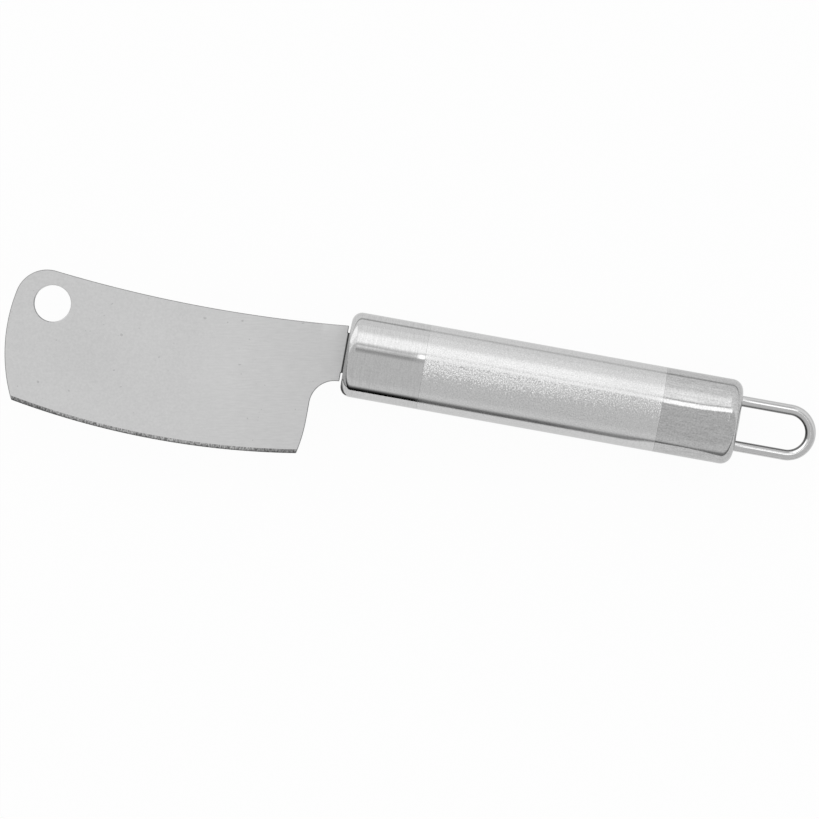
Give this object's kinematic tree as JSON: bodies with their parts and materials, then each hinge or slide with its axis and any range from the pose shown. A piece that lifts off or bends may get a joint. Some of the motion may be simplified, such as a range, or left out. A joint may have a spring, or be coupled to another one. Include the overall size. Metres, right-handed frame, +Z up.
{
  "type": "mini cleaver",
  "caption": "Small kitchen cleaver: thin curved steel blade with a hanging hole, held by its tang in a round tube handle with polished caps and a wire hanging loop.",
  "frame": {"origin": "under the middle of the knife's box, on the surface that it lies on", "axes": "+X along the handle from the nose to the loop, +Y from the cutting edge to the spine, +Z up, square to the blade's face"},
  "size_m": [0.1903, 0.0377, 0.02],
  "materials": {
    "blade_steel": "fine brushed",
    "polished_steel": "polished",
    "satin_steel": "satin blasted",
    "loop_steel": "polished",
    "plain_steel": "plain",
    "plug_plastic": "moulded"
  },
  "bodies": {
    "root": {"blade": "blade_steel", "front_cap": "polished_steel", "tang_plug": "plug_plastic", "tang_pin": "plain_steel", "grip_tube": "satin_steel", "loop_plug": "plug_plastic", "rear_cap": "polished_steel", "hang_loop": "loop_steel", "loop_clips": "plain_steel"}
  },
  "joints": []
}
